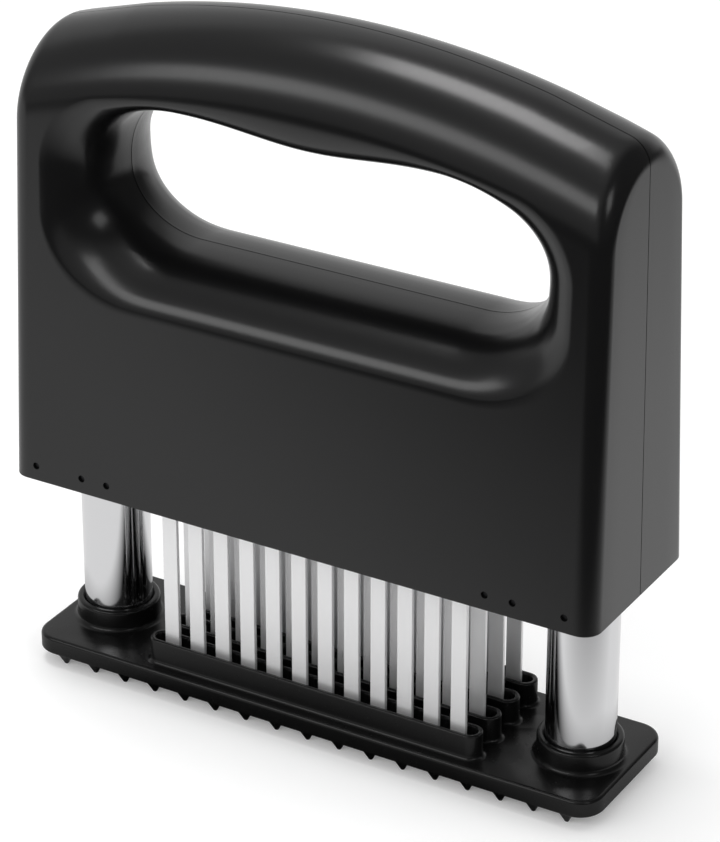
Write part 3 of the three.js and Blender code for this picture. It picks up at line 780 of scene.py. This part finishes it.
def housing_shells():
    """The two half shells: the rear one mirrors the front one, and has the lip besides."""
    lines = shell_lines()
    front = half_shell("front_shell", lines)
    clean_mesh(front, SHELL_SMOOTH, MERGE)
    for low, high in ((pin_low, pin_high), (inner_pin_low, inner_pin_high),
                      (outer_pin_low, outer_pin_high)):
        for side, _ in SIDES:
            drill(front, side * (low.x + high.x) / 2, -half_depth * PIN_HOLE_START,
                  -half_depth * PIN_HOLE_END)
    shade(front, SHELL_SMOOTH)
    rear = add_object("rear_shell", front.data.copy())
    for vert in rear.data.vertices:
        vert.co.y = -vert.co.y
    rear.data.flip_normals()
    combine(rear, parting_lip(lines), "UNION")
    clean_mesh(rear, SHELL_SMOOTH, MERGE)
    finish_piece(front, "handle", "housing_plastic", "housing_front")
    finish_piece(rear, "handle", "housing_plastic", "housing_rear")


ROUND_SIDES = 128
COLUMN_WALL = 1.2 * MM
COLUMN_ROUND = 0.5 * MM
COLUMN_ROUND_STEPS = 6
RING_GROOVE = 0.5 * MM
RING_GAP = 0.15 * MM


def columns():
    """Tubes with a groove for the stop ring and a rounded top."""
    bore = column_radius - COLUMN_WALL
    groove = column_radius - RING_GROOVE
    top = column_high.z
    profile = [(bore, column_low.z), (column_radius, column_low.z),
               (column_radius, ring_low.z - RING_GAP), (groove, ring_low.z - RING_GAP),
               (groove, ring_high.z + RING_GAP), (column_radius, ring_high.z + RING_GAP)]
    profile += arc((column_radius - COLUMN_ROUND, top - COLUMN_ROUND), COLUMN_ROUND, 0, 90,
                   COLUMN_ROUND_STEPS)
    profile += [(bore, top)]
    for side, label in SIDES:
        tube = lathe(f"steel_column_{label}", profile, side * column_x)
        finish_piece(tube, "guard", "column_steel", f"column_{label}")


SPRING_WIRE = 1 * MM
SPRING_CURLS = 12
SPRING_STEPS = 40
SPRING_SIDES = 12
SPRING_END_RISE = 1.6 * MM


def spring_rings(x):
    """Rings of points along a wound wire, whose first and last curls lie close to the next."""
    mean = (spring_high.x - spring_low.x) / 2 - SPRING_WIRE / 2
    low = spring_low.z + SPRING_WIRE / 2
    high = spring_high.z - SPRING_WIRE / 2
    open_rise = (high - low - 2 * SPRING_END_RISE) / (SPRING_CURLS - 2)
    rings = []
    for step in range(SPRING_CURLS * SPRING_STEPS + 1):
        curls = step / SPRING_STEPS
        opened = min(max(curls - 1, 0), SPRING_CURLS - 2)
        z = low + (curls - opened) * SPRING_END_RISE + opened * open_rise
        angle = 2 * math.pi * curls
        out = Vector((math.cos(angle), math.sin(angle), 0))
        centre = Vector((x, 0, z)) + out * mean
        turns = [2 * math.pi * k / SPRING_SIDES for k in range(SPRING_SIDES)]
        rings.append([centre + out * (SPRING_WIRE / 2 * math.cos(turn))
                      + Vector((0, 0, SPRING_WIRE / 2 * math.sin(turn))) for turn in turns])
    return rings


def springs():
    """Wound springs round the columns, carried with the guard."""
    for side, label in SIDES:
        spring = ring_loft(f"wound_spring_{label}", spring_rings(side * column_x))
        clean_mesh(spring, SPRING_SMOOTH)
        finish_piece(spring, "guard", "spring_steel", f"return_spring_{label}")
        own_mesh(spring)


BLADE_COUNT = 12
BLADE_ROWS = 4
BLADE_PITCH = 6.85 * MM
BLADE_WIDTH = 3.8 * MM
BLADE_TIP = 3.6 * MM
BLADE_TIP_WIDTH = 0.5 * MM
BLADE_EDGE = 0.08 * MM
STRIP_BAND_LOW = 0.7 * MM
CUT_PAST = 1 * MM


def strip_outline():
    """A stamped strip seen from the front, with its row of blades ground to a point."""
    half, top, tip = strip_high.x, strip_high.z, strip_low.z
    band = housing_bottom + STRIP_BAND_LOW
    outline = [(-half, top), (-half, band)]
    for i in range(BLADE_COUNT):
        middle = (i - (BLADE_COUNT - 1) / 2) * BLADE_PITCH
        left, right = middle - BLADE_WIDTH / 2, middle + BLADE_WIDTH / 2
        outline += [(left, band), (left, tip + BLADE_TIP), (middle - BLADE_TIP_WIDTH / 2, tip),
                    (middle + BLADE_TIP_WIDTH / 2, tip), (right, tip + BLADE_TIP), (right, band)]
    return outline + [(half, band), (half, top)]


def blade_strips():
    """The rows of blades, with their pin holes and fine bevels."""
    outline = strip_outline()
    for row in range(1, BLADE_ROWS + 1):
        low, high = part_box(f"blade_strip_{row}")
        strip = ring_loft(f"blades_row_{row}", [[(x, y, z) for x, z in outline]
                                                for y in (low.y, high.y)])
        clean_mesh(strip, BLADE_SMOOTH)
        for side, _ in SIDES:
            drill(strip, side * (pin_low.x + pin_high.x) / 2, low.y - CUT_PAST,
                  high.y + CUT_PAST)
        bevel = strip.modifiers.new("edges", "BEVEL")
        bevel.width = BLADE_EDGE
        bevel.segments = 1
        bevel.limit_method = "ANGLE"
        apply_modifier(strip, bevel)
        shade(strip, BLADE_SMOOTH)
        finish_piece(strip, "handle", "blade_steel", f"blade_strip_{row}")


PLATE_CORNER = 6 * MM
PLATE_CORNER_STEPS = 16
PLATE_EDGE = 0.9 * MM
PLATE_EDGE_STEPS = 8
PLATE_FOOT_EDGE = PLATE_EDGE / 3
PLATE_THICKNESS = 4.2 * MM
TOOTH_HEIGHT = 3.45 * MM
TOOTH_BASE = 3.8 * MM
TOOTH_TIP = 0.9 * MM
TOOTH_PITCH = 8.3 * MM
TOOTH_INSET = 1.4 * MM
TOOTH_ROOT = 0.6 * MM
TOOTH_ROUND = 0.35 * MM
TOOTH_ROUND_LIMIT = 0.8
TOOTH_ROUND_STEPS = 4
COLLAR_WALL = 1.8 * MM
COLLAR_HEIGHT = 5.3 * MM
COLLAR_FLARE = 1.3 * MM
COLLAR_LIP = 0.85 * MM
COLLAR_STEPS = 8
SOCKET_GAP = 0.15 * MM
SOCKET_FLOOR = 2.9 * MM
SOCKET_LIP = 0.4 * MM
SCREW_GAP = 0.3 * MM
SCREW_HEAD_DEPTH = 1.6 * MM
SCREW_SHANK = 1.9 * MM
ROW_PITCH = 8.6 * MM
SLOT_WIDTH = 3.4 * MM
SLOT_END_GAP = 2.725 * MM
SLOT_END_ROUND = 0.9999
SLOT_END_STEPS = 14
SLOT_LIP_STEPS = 5
RIM_WALL = 1.2 * MM
RIM_FOOT = 1.1 * MM
RIM_FOOT_STEPS = 8
RIM_LIP = 0.5 * MM
RIM_LIP_STEPS = 6
underside = plate_low.z + TOOTH_HEIGHT
plate_top = underside + PLATE_THICKNESS
rim_top = plate_high.z
slot_half_length = (BLADE_COUNT - 1) / 2 * BLADE_PITCH + BLADE_WIDTH / 2 + SLOT_END_GAP


def guard_plate():
    """The plate in one mesh: collars, rims and teeth are added, slots and sockets cut."""
    rows = [(row - (BLADE_ROWS - 1) / 2) * ROW_PITCH for row in range(BLADE_ROWS)]
    plate = plate_body()
    for side, _ in SIDES:
        combine(plate, collar(side), "UNION")
    for y in rows:
        combine(plate, slot_rim(y), "UNION")
    for side, _ in SIDES:
        combine(plate, tooth_row(side), "UNION")
    for y in rows:
        combine(plate, blade_slot(y), "DIFFERENCE")
    for side, _ in SIDES:
        combine(plate, column_socket(side), "DIFFERENCE")
    clean_mesh(plate, PLATE_SMOOTH, MERGE)
    finish_piece(plate, "guard", "guard_plastic", "guard_plate")


def plate_body():
    """The bare plate, with a small edge below and a rounded one above."""
    levels = [(PLATE_FOOT_EDGE, underside), (0, underside + PLATE_FOOT_EDGE)]
    levels += [(PLATE_EDGE - x, z) for x, z in
               arc((0, plate_top - PLATE_EDGE), PLATE_EDGE, 0, 90, PLATE_EDGE_STEPS)]
    plate = ring_loft("toothed_guard", [
        rounded_rectangle(plate_high.x - inset, plate_high.y - inset, PLATE_CORNER - inset,
                          (0, 0), z, PLATE_CORNER_STEPS) for inset, z in levels])
    clean_mesh(plate, ROUND_SMOOTH)
    return plate


def collar(side):
    """A column's collar, flared at its foot and rounded at its lip."""
    outer = column_radius + COLLAR_WALL
    high = plate_top + COLLAR_HEIGHT
    profile = [(0, plate_top - PLATE_EDGE), (outer + COLLAR_FLARE, plate_top - PLATE_EDGE)]
    profile += arc((outer + COLLAR_FLARE, plate_top + COLLAR_FLARE), COLLAR_FLARE, 270, 180,
                   COLLAR_STEPS)
    profile += arc((outer - COLLAR_LIP, high - COLLAR_LIP), COLLAR_LIP, 0, 90, COLLAR_STEPS)
    profile += [(0, high)]
    return lathe("collar", profile, side * column_x)


def column_socket(side):
    """A column's socket in its collar, and the screw's bore below it."""
    head = (screw_high.x - screw_low.x) / 2 + SCREW_GAP
    head_top = underside + SCREW_HEAD_DEPTH
    shank = SCREW_SHANK + SOCKET_GAP
    bore = column_radius + SOCKET_GAP
    seat = underside + SOCKET_FLOOR
    top = plate_top + COLLAR_HEIGHT
    profile = [(0, underside - CUT_PAST), (head, underside - CUT_PAST), (head, head_top),
               (shank, head_top), (shank, seat), (bore, seat), (bore, top - SOCKET_LIP),
               (bore + SOCKET_LIP, top), (bore + SOCKET_LIP, top + CUT_PAST), (0, top + CUT_PAST)]
    return lathe("socket", profile, side * column_x)


def stadium_loft(name, half_x, half_y, y, levels):
    """A long body with round ends, grown at each level by the given amount."""
    made = ring_loft(name, [
        rounded_rectangle(half_x + grow, half_y + grow, (half_y + grow) * SLOT_END_ROUND, (0, y),
                          z, SLOT_END_STEPS) for grow, z in levels])
    clean_mesh(made, ROUND_SMOOTH)
    return made


def slot_rim(y):
    """A slot's rim before it is cut, flared at its foot and rounded at its lip."""
    levels = [(RIM_FOOT, plate_top - PLATE_EDGE)]
    levels += arc((RIM_FOOT, plate_top + RIM_FOOT), RIM_FOOT, 270, 180, RIM_FOOT_STEPS)
    levels += [(x - RIM_LIP, z) for x, z in
               arc((0, rim_top - RIM_LIP), RIM_LIP, 0, 90, RIM_LIP_STEPS)]
    return stadium_loft("rim", slot_half_length + RIM_WALL, SLOT_WIDTH / 2 + RIM_WALL, y, levels)


def blade_slot(y):
    """A slot's cutter, widened at its mouth so that the rim's inner lip is round."""
    levels = [(0, plate_low.z)]
    levels += arc((RIM_LIP, rim_top - RIM_LIP), RIM_LIP, 180, 90, SLOT_LIP_STEPS)
    levels += [(RIM_LIP, rim_top + CUT_PAST)]
    return stadium_loft("slot", slot_half_length, SLOT_WIDTH / 2, y, levels)


def tooth_row(side):
    """Blunt four-sided teeth with rounded edges, each with a root that reaches into the plate."""
    reach = math.floor((plate_high.x - TOOTH_INSET - TOOTH_BASE / 2) / TOOTH_PITCH)
    y = side * (plate_high.y - TOOTH_INSET - TOOTH_BASE / 2)
    spread = (TOOTH_BASE - TOOTH_TIP) / TOOTH_HEIGHT
    verts, faces = [], []
    for i in range(-reach, reach + 1):
        rings = []
        for z in (plate_low.z, underside, underside + TOOTH_ROOT):
            half = (TOOTH_TIP + spread * (z - plate_low.z)) / 2
            corner = min(TOOTH_ROUND, half * TOOTH_ROUND_LIMIT)
            rings.append(rounded_rectangle(half, half, corner, (i * TOOTH_PITCH, y), z,
                                           TOOTH_ROUND_STEPS))
        faces += loft_faces(len(rings), len(rings[0]), len(verts))
        verts += [point for ring in rings for point in ring]
    row = mesh_object("teeth", verts, faces)
    clean_mesh(row, ROUND_SMOOTH)
    return row


def carried_nodes():
    """The CAD pieces that keep their own shape get their material."""
    for entry in frame["record"]["subparts"]:
        node = frame["nodes"][entry["node"]]
        if node.hide_render:
            continue
        node.data.materials.clear()
        node.data.materials.append(MATERIALS[entry["material_slot"]])


def camera():
    data = bpy.data.cameras.new("camera")
    data.sensor_width = SENSOR
    data.lens = CAMERA_FOCUS_PIXELS * SENSOR / PHOTO_HEIGHT_PIXELS
    data.clip_start = CAMERA_NEAR
    data.clip_end = CAMERA_FAR
    made = add_object("camera", data)
    made.location = CAMERA_PLACE
    made.rotation_euler = (QUARTER - CAMERA_PITCH, 0, CAMERA_AZIMUTH)
    bpy.context.scene.camera = made


WHITE = (1, 1, 1, 1)
FLOOR_HALF = 4.0
FLOOR_DROP = 0.02 * MM
FLOOR_COLOUR = (0.9, 0.9, 0.9, 1)
FLOOR_ROUGHNESS = 0.9

# The floor in reflections is a painted reflection of a lit floor: levels fall off along the slopes,
# as painted shade, from the ones at the middle
FLOOR_DARKEST = 0.05
FLOOR_BRIGHTEST = 0.86
FLOOR_SLOPE = (-3.7, 4.5, 0)
FLOOR_LEVEL = 1.2
FLOOR_RIGHT_SLOPE = (-2.6, 0, 0)
FLOOR_RIGHT_LEVEL = 1.33
# Painted shade beneath the object in the floor's reflection: darker within this stretched reach
SHADE_STRETCH = (9.5, 18, 1)
SHADE_START = 0.6
SHADE_END = 1

# The floor's own glow for the camera, from the object outwards
FLOOR_GLOW = 0.17
FLOOR_GLOW_FAR = 0.7
FLOOR_NEAR = 0.4
FLOOR_FAR = 1.6


def painted_floor_reflection(tree, place):
    """
    How bright reflections see the floor, as a painted reflection: pale round the object, painted
    shade beneath it, and painted shade falling off towards the camera and the right, as a table top
    does whose front lies in the room's shade.
    """
    front = add_node(tree, "VectorMath", {0: place, 1: FLOOR_SLOPE}, "DOT_PRODUCT")
    front_level = add_node(tree, "MapRange", {
        "Value": front.outputs["Value"],
        "From Min": FLOOR_DARKEST - FLOOR_LEVEL, "From Max": FLOOR_BRIGHTEST - FLOOR_LEVEL,
        "To Min": FLOOR_DARKEST, "To Max": FLOOR_BRIGHTEST})
    right = add_node(tree, "VectorMath", {0: place, 1: FLOOR_RIGHT_SLOPE}, "DOT_PRODUCT")
    right_level = add_node(tree, "Math", {0: right.outputs["Value"], 1: FLOOR_RIGHT_LEVEL}, "ADD")
    lower = add_node(tree, "Math", {
        0: front_level.outputs["Result"], 1: right_level.outputs["Value"]}, "MINIMUM")
    held = add_node(tree, "Math", {0: lower.outputs["Value"], 1: FLOOR_DARKEST}, "MAXIMUM")
    stretched = add_node(tree, "VectorMath", {0: place, 1: SHADE_STRETCH}, "MULTIPLY")
    reach = add_node(tree, "VectorMath", {0: stretched.outputs["Vector"]}, "LENGTH")
    shaded = add_node(tree, "MapRange", {
        "Value": reach.outputs["Value"], "From Min": SHADE_START, "From Max": SHADE_END})
    level = add_node(tree, "Math", {
        0: held.outputs["Value"], 1: shaded.outputs["Result"]}, "MULTIPLY")
    return level.outputs["Value"]


def floor_glow(tree, place, seen):
    """What the floor adds to its own light for the camera, so that it turns white far away."""
    away = add_node(tree, "VectorMath", {0: place}, "LENGTH")
    rise = add_node(tree, "MapRange", {
        "Value": away.outputs["Value"], "From Min": FLOOR_NEAR, "From Max": FLOOR_FAR,
        "To Min": FLOOR_GLOW, "To Max": FLOOR_GLOW_FAR})
    glow = add_node(tree, "Math", {0: seen, 1: rise.outputs["Result"]}, "MULTIPLY")
    return glow.outputs["Value"]


def floor():
    """White floor with the object's soft shadow."""
    half = FLOOR_HALF
    made = mesh_object("floor", [(-half, -half, 0), (half, -half, 0), (half, half, 0),
                                 (-half, half, 0)], [(0, 1, 2, 3)])
    made.location.z = -FLOOR_DROP
    paint = bpy.data.materials.new("floor")
    paint.use_nodes = True
    tree = paint.node_tree
    place = object_place(tree)
    rays = add_node(tree, "LightPath", {})
    shader = tree.nodes["Principled BSDF"]
    fill_inputs(tree, shader, {
        "Base Color": FLOOR_COLOUR, "Roughness": FLOOR_ROUGHNESS, "Specular IOR Level": 0,
        "Emission Color": WHITE,
        "Emission Strength": floor_glow(tree, place, rays.outputs["Is Camera Ray"])})
    # Glossy rays see the floor as an emission: a painted reflection with painted shade, not the lit
    # floor
    painted_floor_emission = add_node(tree, "Emission", {"Strength": painted_floor_reflection(tree, place)})
    mix = add_node(tree, "MixShader", {
        0: rays.outputs["Is Glossy Ray"], 1: shader.outputs["BSDF"],
        2: painted_floor_emission.outputs["Emission"]})
    fill_inputs(tree, tree.nodes["Material Output"], {"Surface": mix.outputs["Shader"]})
    made.data.materials.append(paint)


# The room in reflections: its level by height, dimmed on the right, with a pale wall behind
ROOM_LEVELS = ((0.0, 0.42), (0.1, 0.38), (0.3, 0.42), (0.8, 0.42), (1.0, 0.6))
BACK_WAY = (-0.65, 0.76, 0)
BACK_EDGE = 0.3
BACK_FULL = 0.65
BACK_GLOW = 0.9
DIM_RIGHT_EDGE = 0.2
DIM_RIGHT_FULL = 0.45
DIM_RIGHT_LEVEL = 0.25
WORLD_LIGHT = 0.75


def room_level(tree):
    """How bright reflections see the room in each direction."""
    way = add_node(tree, "TexCoord", {}).outputs["Generated"]
    split = add_node(tree, "SeparateXYZ", {"Vector": way})
    ramp = add_node(tree, "ValToRGB", {"Fac": split.outputs["Z"]})
    marks = ramp.color_ramp.elements
    while len(marks) < len(ROOM_LEVELS):
        marks.new(0.5)
    for mark, (height, level) in zip(marks, ROOM_LEVELS):
        mark.position = height
        mark.color = (level, level, level, 1)
    right = add_node(tree, "MapRange", {
        "Value": split.outputs["X"], "From Min": DIM_RIGHT_EDGE, "From Max": DIM_RIGHT_FULL,
        "To Min": 1, "To Max": DIM_RIGHT_LEVEL})
    dimmed = add_node(tree, "Math", {
        0: ramp.outputs["Color"], 1: right.outputs["Result"]}, "MULTIPLY")
    facing = add_node(tree, "VectorMath", {0: way, 1: BACK_WAY}, "DOT_PRODUCT")
    wall = add_node(tree, "MapRange", {
        "Value": facing.outputs["Value"], "From Min": BACK_EDGE, "From Max": BACK_FULL,
        "To Max": BACK_GLOW})
    level = add_node(tree, "Math", {
        0: dimmed.outputs["Value"], 1: wall.outputs["Result"]}, "MAXIMUM")
    return level.outputs["Value"]


def world():
    """White for the camera, the room for reflections, and an even light for the rest."""
    made = bpy.data.worlds.new("studio")
    bpy.context.scene.world = made
    made.use_nodes = True
    tree = made.node_tree
    tree.nodes.clear()
    rays = add_node(tree, "LightPath", {})
    even = add_node(tree, "Background", {"Color": WHITE, "Strength": WORLD_LIGHT})
    room = add_node(tree, "Background", {"Strength": room_level(tree)})
    seen = add_node(tree, "Background", {"Color": WHITE, "Strength": 1})
    unseen = add_node(tree, "MixShader", {
        0: rays.outputs["Is Glossy Ray"], 1: even.outputs["Background"],
        2: room.outputs["Background"]})
    mix = add_node(tree, "MixShader", {
        0: rays.outputs["Is Camera Ray"], 1: unseen.outputs["Shader"],
        2: seen.outputs["Background"]})
    add_node(tree, "OutputWorld", {"Surface": mix.outputs["Shader"]})


LIGHTS_MIDDLE = Vector((0, 0, 0.13))


def softbox(name, azimuth, elevation, distance, width, height, glow, roll=0):
    """Soft light at a place round the object: azimuth from the front towards the right."""
    turn, rise = math.radians(azimuth), math.radians(elevation)
    way = Vector((math.sin(turn) * math.cos(rise), -math.cos(turn) * math.cos(rise),
                  math.sin(rise)))
    data = bpy.data.lights.new(name, "AREA")
    data.shape = "RECTANGLE"
    data.size = width
    data.size_y = height
    data.energy = glow * math.pi * width * height
    made = add_object(name, data)
    made.location = LIGHTS_MIDDLE + way * distance
    facing = (-way).to_track_quat("-Z", "Y") @ Quaternion((0, 0, 1), math.radians(roll))
    made.rotation_euler = facing.to_euler()


def lights():
    softbox("overhead", azimuth=-90, elevation=82, distance=0.95, width=0.34, height=0.46, glow=7)
    softbox("front_left", azimuth=-22, elevation=31, distance=1, width=0.9, height=0.26, glow=2.9,
            roll=12)
    softbox("front_right", azimuth=62, elevation=32, distance=1, width=0.3, height=0.3, glow=2)


camera()
housing_shells()
columns()
springs()
blade_strips()
guard_plate()
carried_nodes()
floor()
world()
lights()
bpy.context.scene.view_settings.view_transform = "Standard"
